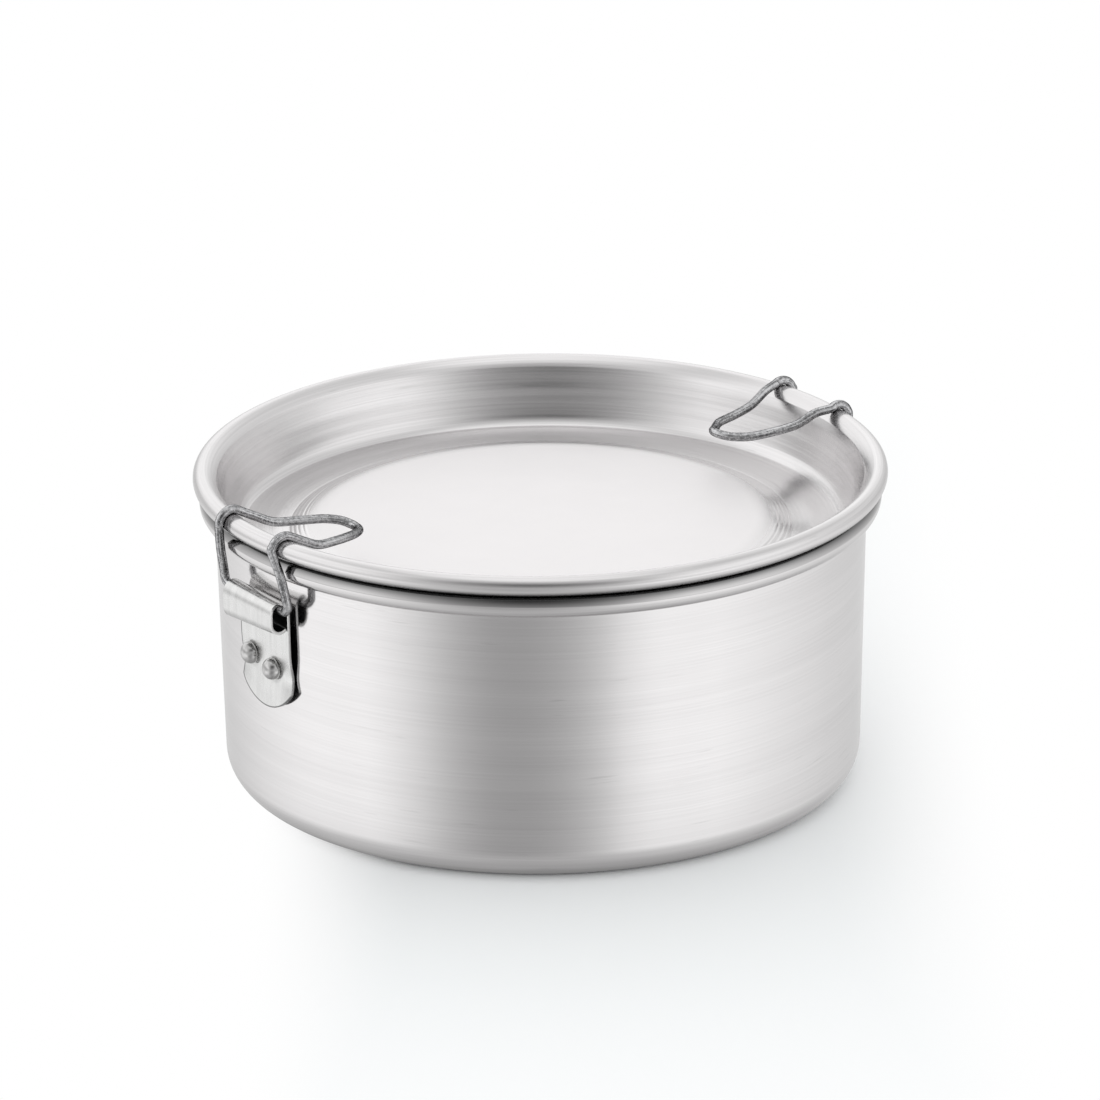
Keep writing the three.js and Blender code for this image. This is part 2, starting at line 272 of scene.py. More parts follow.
def made_by(tree, source, name, **sizes):
    """Runs a Geometry Nodes tree on a drawing and returns the result as a plain mesh object."""
    modifier = source.modifiers.new("make", "NODES")
    modifier.node_group = tree
    identifiers = {item.name: item.identifier for item in tree.interface.items_tree}
    for label, value in sizes.items():
        modifier[identifiers[label.replace("_", " ").capitalize()]] = value
    depsgraph = bpy.context.evaluated_depsgraph_get()
    mesh = bpy.data.meshes.new_from_object(source.evaluated_get(depsgraph), depsgraph=depsgraph)
    bpy.data.objects.remove(source)
    mesh.name = name
    mesh.materials.clear()
    mesh.materials.append(sizes["metal"])
    piece = bpy.data.objects.new(name, mesh)
    scene.collection.objects.link(piece)
    return piece


def metal_material(name):
    """A new material with a bare metal shader: the material, its tree, its shader and its coordinates."""
    material = bpy.data.materials.new(name)
    material.use_nodes = True
    tree = material.node_tree
    shader = tree.nodes["Principled BSDF"]
    shader.inputs["Metallic"].default_value = 1.0
    return material, tree, shader, node(tree, "ShaderNodeTexCoord").outputs["Object"]


def set_finish(tree, shader, colour, roughness, normal):
    """Links a metal's colour, roughness and small relief to its shader."""
    tree.links.new(colour, shader.inputs["Base Color"])
    tree.links.new(roughness, shader.inputs["Roughness"])
    tree.links.new(normal, shader.inputs["Normal"])


def bare_aluminium(level):
    """The colour of bare aluminium at a brightness: grey with a trace of red."""
    return (level, level - LESS_GREEN, level - LESS_BLUE, 1)


def spun_aluminium(name, grain, roughness, wave, crevice_shade_heights, crevice_shade_radius):
    """Satin aluminium with the tool's fine lines round the axis, lighter and darker by the grain, broad
    shallow waves and a few nicks. A dark grey is painted in as shade between two given heights, outside
    a radius, where one rim sits close against the other and shades it."""
    material, tree, shader, place = metal_material(name)
    part = parts_of(tree, place)
    flat = node(tree, "ShaderNodeCombineXYZ", {0: part["X"], 1: part["Y"]}).outputs[0]
    radius = vector_maths(tree, "LENGTH", flat)["Value"]
    heading = vector_maths(tree, "NORMALIZE", flat)["Vector"]

    def lines(spacing, change, detail):
        """Noise in rings: it changes quickly with radius and height, and slowly round the axis."""
        round_part = vector_maths(tree, "MULTIPLY", heading, (change,) * 3)["Vector"]
        up = maths(tree, "MULTIPLY", part["Z"], 1 / spacing)
        lift = node(tree, "ShaderNodeCombineXYZ", {2: up}).outputs[0]
        where = vector_maths(tree, "ADD", round_part, lift)["Vector"]
        out = maths(tree, "MULTIPLY", radius, 1 / spacing)
        return noise(tree, where, 1.0, detail, out, LINE_ROUGHNESS)["Fac"]

    fine = lines(*FINE_LINES)
    bands = lines(*BROAD_BANDS)
    nicks = spread(tree, lines(*NICKS), NICK_PEAKS)
    clouds = noise(tree, place, CLOUDS_PER_METRE, CLOUD_DETAIL)["Fac"]
    share = spread(tree, maths(tree, "ADD", fine, bands), TWO_NOISES)
    dark, light = bare_aluminium(BARE_LEVEL - grain), bare_aluminium(BARE_LEVEL + grain)
    bright = blend_colours(tree, share, dark, light)
    marked = blend_colours(tree, nicks, bright, NICK_COLOUR)
    # Painted shade: dark grey on a rim where the other rim shades it.
    rim = spread(tree, radius, (crevice_shade_radius, crevice_shade_radius + CREVICE_SHADE_FADE))
    painted_shade_share = maths(tree, "MULTIPLY", spread(tree, part["Z"], crevice_shade_heights), rim)
    wear = spread(tree, maths(tree, "ADD", bands, clouds), TWO_NOISES, roughness)
    waves = relief(tree, bands, 1.0, wave)
    set_finish(tree, shader, blend_colours(tree, painted_shade_share, marked, PAINTED_CREVICE_SHADE), wear,
               relief(tree, fine, LINE_STRENGTH, LINE_HEIGHT, waves))

    # The lines run round the axis, so the gloss spreads across them.
    across = vector_maths(tree, "CROSS_PRODUCT", (0, 0, 1), heading)["Vector"]
    tree.links.new(across, shader.inputs["Tangent"])
    shader.inputs["Anisotropic"].default_value = ANISOTROPY
    shader.inputs["Anisotropic Rotation"].default_value = ANISOTROPY_TURN
    return material


pot_bead_radius = POT_BEAD / 2
pot_bead = Vector((MOUTH_RADIUS + pot_bead_radius, POT_HEIGHT - pot_bead_radius))


def wall_radius(z):
    """Outer radius of the pot's wall at a height."""
    below = (pot_bead.y - z) / (pot_bead.y - POT_SHEET / 2)
    return MOUTH_RADIUS + POT_SHEET - WALL_DRAFT * below


def pot_section():
    """The pot's outline. The bead is a little taller than wide, with a flank that slopes to a shoulder."""
    middle = POT_SHEET / 2
    bead_middle = pot_bead_radius - middle

    def bead_arc(start, end, steps):
        points = arc(pot_bead, bead_middle, start, end, steps)
        return [Vector((p.x, POT_HEIGHT - (POT_HEIGHT - p.y) * BEAD_STRETCH)) for p in points]

    over = bead_arc(math.pi, FLANK_START, BEAD_TOP_STEPS)
    under = bead_arc(FLANK_END, math.pi - CURL_TURN, BEAD_UNDER_STEPS)
    shoulder = (pot_bead.x + bead_middle, POT_HEIGHT - BEAD_SHOULDER)
    flank = rounded_line([(over[-1], 0), (shoulder, SHOULDER_FILLET), (under[0], 0)], SHOULDER_STEPS)
    curl = over[:-1] + flank + under[1:]
    corner = (wall_radius(middle) - middle, middle)
    line = rounded_line([((0, middle), 0), (corner, BASE_CORNER - middle), (curl[0], 0)],
                        BASE_CORNER_STEPS)
    return sheet_section(fine_line(line, MOUTH_RADIUS / RINGS_ON_FLAT) + curl[1:], POT_SHEET)


spin_sheet = spinning_tree()
polished = spun_aluminium("spun_aluminium", POT_GRAIN, POT_ROUGHNESS, POT_WAVE, POT_CREVICE_SHADE_HEIGHTS, POT_CREVICE_SHADE_RADIUS)
pot = made_by(spin_sheet, drawing("pot_drawing", upright(pot_section()), linked=True), "pot",
              steps_round=STEPS_ROUND, metal=polished)
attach(pot, "pot")
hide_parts("pot_body")


# Brackets. A strip of tinplate for each clip, cut with a round-ended tongue and curled at the top into an
# oval barrel that holds the ends of the wire. Both are riveted to the wall, which has dimpled the strip
# round the rivets and pressed its edges in below them.
BRACKET_SHEET = 0.6 * MM
ROLLED_SHEET = 0.85 * MM
SEAT_GAP = 0.3 * MM
BORE_WIDTH = 4.9 * MM
BORE_HEIGHT = 7.8 * MM
BARREL_LEAN = 0.1 * MM
BARREL_TAPER = 1.6 * MM
BARREL_TOP_STEPS = 24
BARREL_FRONT_STEPS = 20
KNEE_RUN = 3 * MM
KNEE_FILLET = 6 * MM
KNEE_STEPS = 6
TONGUE_SAG = 5.8 * MM
TONGUE_BOW = 0.2 * MM
PINCH = 1.0 * MM
PINCH_REACH = 4.3 * MM
PINCH_DROP = 3.4 * MM
RIVET_INSET = 5.8 * MM
RIVET_HEAD = 6.3 * MM
RIVET_DRIFT = 0.7 * MM
RIVET_MISSET = 1.4 * MM
DIMPLE_WIDTH = 8.6 * MM
DIMPLE_DEPTH = 0.24 * MM
STRIP_STEP = 0.4 * MM
EDGE_ROUND = 0.2 * MM
EDGE_SEGMENTS = 3
EDGE_ANGLE = math.radians(50)

# Painted shadow: a dark line along one edge and round the tongue's tip, where the strip meets the wall.
# Where it begins and where it is full, in from the edge
EDGE_SHADE_BAND = (0.45 * MM, 0.3 * MM)
EDGE_SHADE_FADE = 1 * MM
EDGE_SHADE_SHARE = 0.85
PAINTED_EDGE_SHADE = (0.10, 0.10, 0.10, 1)
BRIGHT_TIN = [(0.62, 0.62, 0.615, 1), (0.72, 0.72, 0.715, 1)]
BRIGHT_ROUGHNESS = (0.20, 0.30)
# Near-black tin: painted shade inside the barrel and behind the tongue
SHADED_INNER_TIN = [(0.04, 0.04, 0.04, 1), (0.10, 0.10, 0.10, 1)]
INNER_ROUGHNESS = (0.40, 0.55)
# Range that holds nearly all of one noise
ONE_NOISE = (0.3, 0.7)
STREAKS_PER_METRE = (300, 700, 60)
STREAK_DETAIL = 3.0
TIN_CLOUDS_PER_METRE = 420.0
TIN_CLOUD_DETAIL = 5.0
TIN_RELIEF = 0.05 * MM
TIN_STRENGTH = 0.12

bracket_low, bracket_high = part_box("bracket_right")
rivet_low, rivet_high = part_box("rivet_right_front")
bracket_half = bracket_high.y
rivet_y = bracket_half - RIVET_INSET
rivet_z = (rivet_low.z + rivet_high.z) / 2
bore_z = bracket_high.z - BRACKET_SHEET - BORE_HEIGHT / 2
bore_low = bore_z - BORE_HEIGHT / 2
barrel_radius = (BORE_WIDTH + BRACKET_SHEET) / 2
barrel_x = bracket_high.x - BRACKET_SHEET / 2 - barrel_radius
tongue_x = barrel_x - barrel_radius - BARREL_LEAN
tip_radius = (bracket_half ** 2 + TONGUE_SAG ** 2) / (2 * TONGUE_SAG)
tip_centre_z = bracket_low.z + tip_radius
tip_top = bracket_low.z + TONGUE_SAG
# Across the strip and up. The second rivet of each clip was set low and inwards.
rivet_spots = [(-rivet_y - RIVET_DRIFT, rivet_z),
               (rivet_y - RIVET_DRIFT - RIVET_MISSET, rivet_z - RIVET_MISSET)]


def painted_edge_shade(tree, place):
    """Share of the painted shadow line along one edge and round the tip of the tongue, where it meets the
    wall.
    """
    part = parts_of(tree, place)
    across = maths(tree, "MULTIPLY", part["Y"], maths(tree, "SIGN", part["X"]))
    spoke = node(tree, "ShaderNodeCombineXYZ", {0: across, 1: part["Z"]}).outputs[0]
    reach = vector_maths(tree, "DISTANCE", spoke, (0, tip_centre_z, 0))["Value"]
    begins, full = EDGE_SHADE_BAND
    edge = spread(tree, across, (begins - bracket_half, full - bracket_half), (0, EDGE_SHADE_SHARE))
    below_barrel = spread(tree, part["Z"], (bore_low - EDGE_SHADE_FADE, bore_low), (1, 0))
    tip = spread(tree, reach, (tip_radius - begins, tip_radius - full), (0, EDGE_SHADE_SHARE))
    at_tip = spread(tree, part["Z"], (tip_top, tip_top + EDGE_SHADE_FADE), (1, 0))
    return maths(tree, "MAXIMUM", maths(tree, "MULTIPLY", edge, below_barrel),
                 maths(tree, "MULTIPLY", tip, at_tip))


def tinplate(name, colours, roughness):
    """Tinplate: a little cloudy, with faint rolling streaks along the strip."""
    material, tree, shader, place = metal_material(name)
    stretched = node(tree, "ShaderNodeMapping", {"Vector": place, "Scale": STREAKS_PER_METRE}).outputs[0]
    streaks = noise(tree, stretched, 1.0, STREAK_DETAIL)["Fac"]
    clouds = noise(tree, place, TIN_CLOUDS_PER_METRE, TIN_CLOUD_DETAIL)["Fac"]
    tone = maths(tree, "ADD", streaks, clouds)
    tin = blend_colours(tree, spread(tree, tone, TWO_NOISES), *colours)
    # The dark line along the tongue's edge and tip is painted shadow.
    set_finish(tree, shader, blend_colours(tree, painted_edge_shade(tree, place), tin, PAINTED_EDGE_SHADE),
               spread(tree, clouds, ONE_NOISE, roughness), relief(tree, tone, TIN_STRENGTH, TIN_RELIEF))
    return material


def strip_shift(y, z):
    """How far the flat of a strip stands off by its bow, less its dimples and its pressed edges."""
    bow = TONGUE_BOW * (max(rivet_z - z, 0) / (rivet_z - bracket_low.z)) ** 2
    away = min(math.hypot(y - spot_y, z - spot_z) for spot_y, spot_z in rivet_spots)
    near = min(away / (DIMPLE_WIDTH / 2), 1.0)
    dimple = DIMPLE_DEPTH * (0.5 + 0.5 * math.cos(math.pi * near ** 3))
    off = (z - rivet_z + PINCH_DROP) / PINCH_REACH
    pinch = PINCH * (y / bracket_half) ** 2 * math.exp(-off ** 2)
    return bow - dimple - pinch


def bracket_piece(name, side, bright, dull):
    """The bent strip of one clip. Side is 1 for the right clip and -1 for the left."""
    straight = (BORE_HEIGHT - BORE_WIDTH) / 2
    seam = math.acos((BRACKET_SHEET + SEAT_GAP) / barrel_radius - 1)
    knee_z = rivet_z + RIVET_HEAD / 2
    shoulder = Vector((barrel_x - barrel_radius, bore_z - straight))
    bend = rounded_line([((tongue_x, knee_z - KNEE_RUN), 0), ((tongue_x, knee_z), KNEE_FILLET),
                         (shoulder, KNEE_FILLET), ((shoulder.x, bore_z + straight), 0)], KNEE_STEPS)
    over = arc((barrel_x, bore_z + straight), barrel_radius, math.pi, 0, BARREL_TOP_STEPS)
    front = arc((barrel_x, bore_z - straight), barrel_radius, 0, -seam, BARREL_FRONT_STEPS)
    bend = fine_line(bend, STRIP_STEP)
    strip = bend + fine_line(over + front, STRIP_STEP)[1:]
    flat_rows = math.ceil((strip[0].y - bracket_low.z) / STRIP_STEP)
    barrel_row = flat_rows + len(bend) - 1
    columns = math.ceil(2 * bracket_half / STRIP_STEP)

    points = []
    for row in range(flat_rows + len(strip)):
        for column in range(columns + 1):
            y = bracket_half * (2 * column / columns - 1)
            if row < flat_rows:
                tip = tip_centre_z - math.sqrt(tip_radius ** 2 - y ** 2)
                x, z = tongue_x, tip + (strip[0].y - tip) * row / flat_rows
            else:
                x, z = strip[row - flat_rows]
            if row < barrel_row:
                x += strip_shift(y, z)
            elif x > barrel_x:
                down = min((bracket_high.z - z) / BORE_HEIGHT, 1)
                z -= BARREL_TAPER * down * (0.5 - 0.5 * y / bracket_half)
            points.append((side * x, side * y, z))
    faces = []
    for row in range(flat_rows + len(strip) - 1):
        for column in range(columns):
            a = row * (columns + 1) + column
            faces.append((a, a + 1, a + columns + 2, a + columns + 1))
    mesh = bpy.data.meshes.new(name)
    mesh.from_pydata(points, [], faces)
    mesh.shade_smooth()
    # The strip's front becomes the inside of the barrel and its back the bright outside. The near-black
    # tin on the barrel's inside and on the tongue's face towards the wall is painted shade, a little
    # rougher.
    for metal in (bright, dull, bright, bright):
        mesh.materials.append(metal)
    for face in mesh.polygons:
        if face.index >= barrel_row * columns or face.center.z > bore_z - straight - barrel_radius:
            face.material_index = 1
    piece = bpy.data.objects.new(name, mesh)
    scene.collection.objects.link(piece)
    thick = piece.modifiers.new("sheet", "SOLIDIFY")
    thick.material_offset = 1
    thick.material_offset_rim = 2
    thick.thickness = ROLLED_SHEET
    thick.offset = 0.0
    thick.use_even_offset = True
    edge = piece.modifiers.new("edge", "BEVEL")
    edge.width = EDGE_ROUND
    edge.segments = EDGE_SEGMENTS
    edge.limit_method = "ANGLE"
    edge.angle_limit = EDGE_ANGLE
    return piece


# The second tin, near black, is painted shade.
bright_tin = tinplate("tinplate", BRIGHT_TIN, BRIGHT_ROUGHNESS)
painted_shade_tin = tinplate("tinplate_painted_shade_inner_face", SHADED_INNER_TIN, INNER_ROUGHNESS)
for side_name, side in (("left", -1), ("right", 1)):
    bracket = bracket_piece(f"clip_bracket_{side_name}", side, bright_tin, painted_shade_tin)
    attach(bracket, "pot")
    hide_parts(f"bracket_{side_name}")


# Rivets. Soft aluminium, two through each bracket and the wall, with a tall dome outside and a head that
# is hammered flat inside the pot, so no two are quite alike.
RIVET_SHANK = 3 * MM
HEAD_HEIGHT = 3.1 * MM
HEAD_FULLNESS = 0.75
FORMED_HEAD = 5 * MM
FORMED_HEIGHT = 1 * MM
FORMED_FULLNESS = 0.7
RIVET_SEAT = 0.05 * MM
DOME_STEPS = 10
HAMMERED = 0.45 * MM
DENTS_PER_METRE = 330.0
DENT_DETAIL = 1.0
RIVET_SEED = 7
RIVET_STEPS_ROUND = 40
NEXT_TO_AXIS = 0.001 * MM

RIVET_COLOURS = [(0.34, 0.337, 0.335, 1), (0.70, 0.695, 0.69, 1)]
RIVET_ROUGHNESS = (0.02, 0.07)
MARKS_PER_METRE = 900.0
MARK_DETAIL = 3.0
MARK_HEIGHT = 0.05 * MM
MARK_STRENGTH = 0.3


def rivet_section():
    """Half section of a rivet along its own axis: height 0 is on the pot's axis."""
    head_seat = tongue_x + BRACKET_SHEET / 2 + RIVET_SEAT
    wall_inside = wall_radius(rivet_z) - POT_SHEET
    formed_reach = rivet_y + RIVET_DRIFT + FORMED_HEAD / 2
    formed_seat = math.sqrt(wall_inside ** 2 - formed_reach ** 2) - RIVET_SEAT

    def dome(seat, radius, height, fullness):
        """From the rim of a head to its top."""
        angles = [math.pi / 2 * k / DOME_STEPS for k in range(DOME_STEPS)]
        rise = [(radius * math.cos(a) ** fullness, seat + height * math.sin(a)) for a in angles]
        return rise + [(0.0, seat + height)]

    crown = dome(head_seat, RIVET_HEAD / 2, HEAD_HEIGHT, HEAD_FULLNESS)
    formed = dome(formed_seat, FORMED_HEAD / 2, -FORMED_HEIGHT, FORMED_FULLNESS)
    shank = [(RIVET_SHANK / 2, formed_seat), (RIVET_SHANK / 2, head_seat)]
    return [Vector(p) for p in formed[::-1] + shank + crown]


def scaled(tree, vector, factor):
    """A vector times a number."""
    return node(tree, "ShaderNodeVectorMath", {0: vector, "Scale": factor}, operation="SCALE").outputs[0]


def rivet_tree(rivet):
    """Puts a rivet on each point of a drawing, pointing out along X, each hammered a little differently."""
    tree, given = geometry_tree("set_rivets", {"Hammered": "NodeSocketFloat", "Seed": "NodeSocketInt"})
    model = node(tree, "GeometryNodeObjectInfo", {"Object": rivet}, transform_space="ORIGINAL")
    where = node(tree, "GeometryNodeInputPosition").outputs[0]
    outwards = maths(tree, "SIGN", parts_of(tree, where)["X"])
    heading = node(tree, "ShaderNodeCombineXYZ", {0: outwards}).outputs[0]
    turned = node(tree, "FunctionNodeAlignRotationToVector", {"Vector": heading}, axis="Z")
    copies = node(tree, "GeometryNodeInstanceOnPoints",
                  {"Points": given["Drawing"], "Instance": model.outputs["Geometry"],
                   "Rotation": turned.outputs[0]})
    solid = node(tree, "GeometryNodeRealizeInstances", {0: copies.outputs[0]})
    dents = noise(tree, where, DENTS_PER_METRE, DENT_DETAIL, given["Seed"])["Color"]
    centred = vector_maths(tree, "SUBTRACT", dents, (0.5, 0.5, 0.5))["Vector"]
    hammered = node(tree, "GeometryNodeSetPosition",
                    {"Geometry": solid.outputs[0], "Offset": scaled(tree, centred, given["Hammered"])})
    return close_tree(tree, given, hammered.outputs[0])


def rivet_aluminium():
    """Smooth pressed aluminium with small hammer marks."""
    material, tree, shader, place = metal_material("rivet_aluminium")
    marks = noise(tree, place, MARKS_PER_METRE, MARK_DETAIL)["Fac"]
    set_finish(tree, shader, blend_colours(tree, marks, *RIVET_COLOURS),
               spread(tree, marks, ONE_NOISE, RIVET_ROUGHNESS),
               relief(tree, marks, MARK_STRENGTH, MARK_HEIGHT))
    return material


soft_aluminium = rivet_aluminium()
one_rivet = made_by(spin_sheet, drawing("rivet_drawing", upright(rivet_section()), linked=True),
                    "one_rivet", steps_round=RIVET_STEPS_ROUND, metal=soft_aluminium)
rivet_places = [(side * NEXT_TO_AXIS, side * across, height)
                for side in (-1, 1) for across, height in rivet_spots]
rivets = made_by(rivet_tree(one_rivet), drawing("rivet_places", rivet_places), "rivets",
                 hammered=HAMMERED, seed=RIVET_SEED, metal=soft_aluminium)
bpy.data.objects.remove(one_rivet)
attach(rivets, "pot")
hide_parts("rivet_left_front", "rivet_left_rear", "rivet_right_front", "rivet_right_rear")


# Lid. A second spun sheet: a raised flat middle, a gutter round it, a wall that plugs into the mouth and
# flares out, and a rolled rim that rests on the pot's rim. The tool leaves small ridges on the step.
LID_SHEET = 1.0 * MM
LID_BEAD = 5.4 * MM
LID_OVERHANG = 1.6 * MM
MOUTH_CLEARANCE = 0.4 * MM
PLUG_DRAFT = math.radians(19)
PLUG_FLARE = math.radians(36)
LIP_LEAN = math.radians(58)
FLARE_FILLET = 0.6 * MM
WALL_FOOT_LEAN = math.radians(50)
WALL_FOOT_HEIGHT = 1.7 * MM
WALL_FOOT_FILLET = 6 * MM
GUTTER_FILLET = 2.5 * MM
GUTTER_WIDTH = 15 * MM
STEP_WIDTH = 5 * MM
STEP_FILLET = 1.5 * MM
PLATEAU_FILLET = 18 * MM
PLATEAU_RISE = 1.9 * MM
LONGEST_RUN = 4 * MM
LID_CURL_STEPS = 36
FLARE_STEPS = 10
LID_FILLET_STEPS = 8
STEP_RIDGE = 0.05 * MM
STEP_RIDGE_SPACING = 1.25 * MM
STEP_RIDGES = 4
STEP_RIDGE_INSET = 0.3 * MM
POINTS_PER_RIDGE = 8

LID_GRAIN = 0.06
LID_ROUGHNESS = (0.19, 0.27)
LID_WAVE = 0.5 * MM
# Heights and inset of the painted shade low on the lid's bead, where the pot's bead shades it
LID_CREVICE_SHADE_BELOW = (1.0 * MM, 2.2 * MM)
LID_CREVICE_SHADE_INSET = 0.5 * MM
MATT_COLOURS = [(0.86, 0.846, 0.848, 1), (0.89, 0.876, 0.878, 1)]
MATT_ROUGHNESS = (0.62, 0.68)
MATT_CLOUDS_PER_METRE = 45.0
MATT_CLOUD_DETAIL = 5.0
RUN_OUT_WIDTH = 6 * MM
RUN_OUT_COLOUR = bare_aluminium(0.70)
RUN_OUT_ROUGHNESS = 0.25

lid_bead_radius = LID_BEAD / 2
bead_offset = pot_bead_radius + LID_OVERHANG - lid_bead_radius
bead_reach = pot_bead_radius + lid_bead_radius + SEAT_GAP
lid_bead = pot_bead + Vector((bead_offset, math.sqrt(bead_reach ** 2 - bead_offset ** 2)))


def crossing(p, along, q, across):
    """Where two lines, each a point and a direction, cross."""
    return p + along * ((q - p).cross(across) / along.cross(across))


def lean(angle):
    """Direction in a section, so far from upright."""
    return Vector((math.sin(angle), math.cos(angle)))


def ridged(line, inner):
    """The same line with the tool's small ridges, from an inner radius outwards."""
    outer = inner + STEP_RIDGES * STEP_RIDGE_SPACING
    points = []
    for a, b in zip(line, line[1:]):
        near_step = a.x < outer and b.x > inner
        points += fine_line([a, b], STEP_RIDGE_SPACING / POINTS_PER_RIDGE)[:-1] if near_step else [a]
    for at in points:
        if inner < at.x < outer:
            at.y += STEP_RIDGE * math.sin(2 * math.pi * (at.x - inner) / STEP_RIDGE_SPACING)
    return points + [line[-1]]


def lid_section():
    """The plateau's radius and the lid's outline."""
    middle = LID_SHEET / 2
    gutter_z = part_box("lid")[0].z + middle
    passing = pot_bead_radius + MOUTH_CLEARANCE + middle
    wall = pot_bead + Vector((-math.cos(PLUG_DRAFT), math.sin(PLUG_DRAFT))) * passing
    lip, foot = math.pi - LIP_LEAN, math.pi - PLUG_FLARE
    curl = arc(lid_bead, lid_bead_radius - middle, lip, math.pi - CURL_TURN, LID_CURL_STEPS)
    sweep = Vector((math.cos(foot) - math.cos(lip), math.sin(foot) - math.sin(lip)))
    flare_corner = crossing(curl[0], sweep, wall, lean(PLUG_DRAFT))
    flare_radius = (flare_corner - curl[0]).length / sweep.length
    flare_centre = curl[0] - Vector((math.cos(lip), math.sin(lip))) * flare_radius
    flare = arc(flare_centre, flare_radius, foot, lip, FLARE_STEPS)
    level = Vector((1, 0))
    gutter_corner = crossing(wall, lean(PLUG_DRAFT), Vector((0, gutter_z)), level)
    wall_foot = crossing(wall, lean(PLUG_DRAFT), Vector((0, gutter_z + WALL_FOOT_HEIGHT)), level)
    gutter_edge = crossing(wall_foot, lean(WALL_FOOT_LEAN), Vector((0, gutter_z)), level)
    step_foot = Vector((gutter_corner.x - GUTTER_WIDTH, gutter_z))
    plateau_edge = Vector((step_foot.x - STEP_WIDTH, gutter_z + PLATEAU_RISE))
    line = rounded_line([((0, plateau_edge.y), 0), (plateau_edge, PLATEAU_FILLET), (step_foot, STEP_FILLET),
                         (gutter_edge, GUTTER_FILLET), (wall_foot, WALL_FOOT_FILLET),
                         (flare_corner, FLARE_FILLET), (flare[1], 0)], LID_FILLET_STEPS)
    line = ridged(fine_line(line, LONGEST_RUN), plateau_edge.x + STEP_RIDGE_INSET)
    return plateau_edge.x, sheet_section(line + flare[2:] + curl[1:], LID_SHEET)


def eased(tree, value, low, high):
    """Share from 0 to 1 as a value goes from one limit to another, eased at both."""
    return node(tree, "ShaderNodeMapRange", {"Value": value, "From Min": low, "From Max": high},
                interpolation_type="SMOOTHSTEP").outputs[0]


def satin_aluminium(edge):
    """Fine matt aluminium, a little cloudy. It runs out into the brushed finish towards its edge radius."""
    material, tree, shader, place = metal_material("satin_aluminium")
    flat = vector_maths(tree, "MULTIPLY", place, (1, 1, 0))["Vector"]
    run_out = eased(tree, vector_maths(tree, "LENGTH", flat)["Value"], edge - RUN_OUT_WIDTH, edge)
    clouds = noise(tree, place, MATT_CLOUDS_PER_METRE, MATT_CLOUD_DETAIL)["Fac"]
    matt = blend_colours(tree, spread(tree, clouds, ONE_NOISE), *MATT_COLOURS)
    tree.links.new(blend_colours(tree, run_out, matt, RUN_OUT_COLOUR), shader.inputs["Base Color"])
    dull = spread(tree, clouds, ONE_NOISE, MATT_ROUGHNESS)
    rough = node(tree, "ShaderNodeMix", {0: run_out, 2: dull, 3: RUN_OUT_ROUGHNESS})
    tree.links.new(rough.outputs[0], shader.inputs["Roughness"])
    return material


plateau_radius, lid_outline = lid_section()
brushed = spun_aluminium("spun_aluminium_lid", LID_GRAIN, LID_ROUGHNESS, LID_WAVE,
                         [lid_bead.y - below for below in LID_CREVICE_SHADE_BELOW],
                         lid_bead.x - lid_bead_radius - LID_CREVICE_SHADE_INSET)
lid = made_by(spin_sheet, drawing("lid_drawing", upright(lid_outline), linked=True), "dished_lid",
              steps_round=STEPS_ROUND, metal=brushed)
lid.data.materials.append(satin_aluminium(plateau_radius))
for face in lid.data.polygons:
    if face.center.xy.length < plateau_radius:
        face.material_index = 1
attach(lid, "lid")
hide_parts("lid")


# Bails. One length of galvanised spring wire for each clip: its two ends sit in the barrel, the legs lean
# out past the rims, and the wire is bent over the lid's rim and on into a finger loop above the lid.
WIRE = 2.5 * MM
PIN_LENGTH = 7.2 * MM
BARREL_PLAY = 1.5 * MM
BEND_RADIUS = 2.5 * MM
BEND_STEPS = 4
RIM_HALF_SPREAD = 13.4 * MM
RIM_TURN_END = math.radians(55)
RIM_TURN_STEPS = 6
WIRE_STEPS_ROUND = 20
STEPS_PER_POINT = 8
WIRE_LUMPS = 0.06 * MM
LUMPS_PER_METRE = 700.0
LUMP_DETAIL = 2.0
WIRE_SEED = 3
# Each bail is bent by hand. A leg's middle and the points of a finger loop are given as inwards from the
# pivot, to the side, and up from the pivot, in millimetres.
LEG_MIDDLE = (-1.5, 15.3, 10.7)
LEFT_LOOP = [(8.0, 12.6, 18.4), (13.5, 11.4, 15.9), (20.5, 9.9, 15.3), (26.7, 6.9, 14.4),
             (30.6, 4.0, 13.7), (32.6, 1.8, 13.4), (33.3, -0.5, 13.3), (33.0, -2.9, 13.6),
             (30.9, -5.0, 14.5), (27.0, -7.3, 15.1), (20.5, -9.4, 15.4), (13.5, -11.3, 15.9),
             (8.0, -12.6, 18.4)]
RIGHT_LOOP = [(8.0, 12.0, 20.0), (13.5, 10.8, 17.4), (20.5, 9.2, 16.3), (27.0, 7.7, 15.8),
              (30.8, 4.7, 15.6), (32.9, 2.6, 15.9), (33.7, 0.0, 16.1), (32.9, -2.6, 15.9),
              (30.8, -4.7, 15.6), (27.0, -7.7, 15.8), (20.5, -9.2, 16.3), (13.5, -10.8, 17.4),
              (8.0, -12.0, 20.0)]
LEFT_RIM_TOUCH = 0.03 * MM
RIGHT_RIM_TOUCH = 0.1 * MM

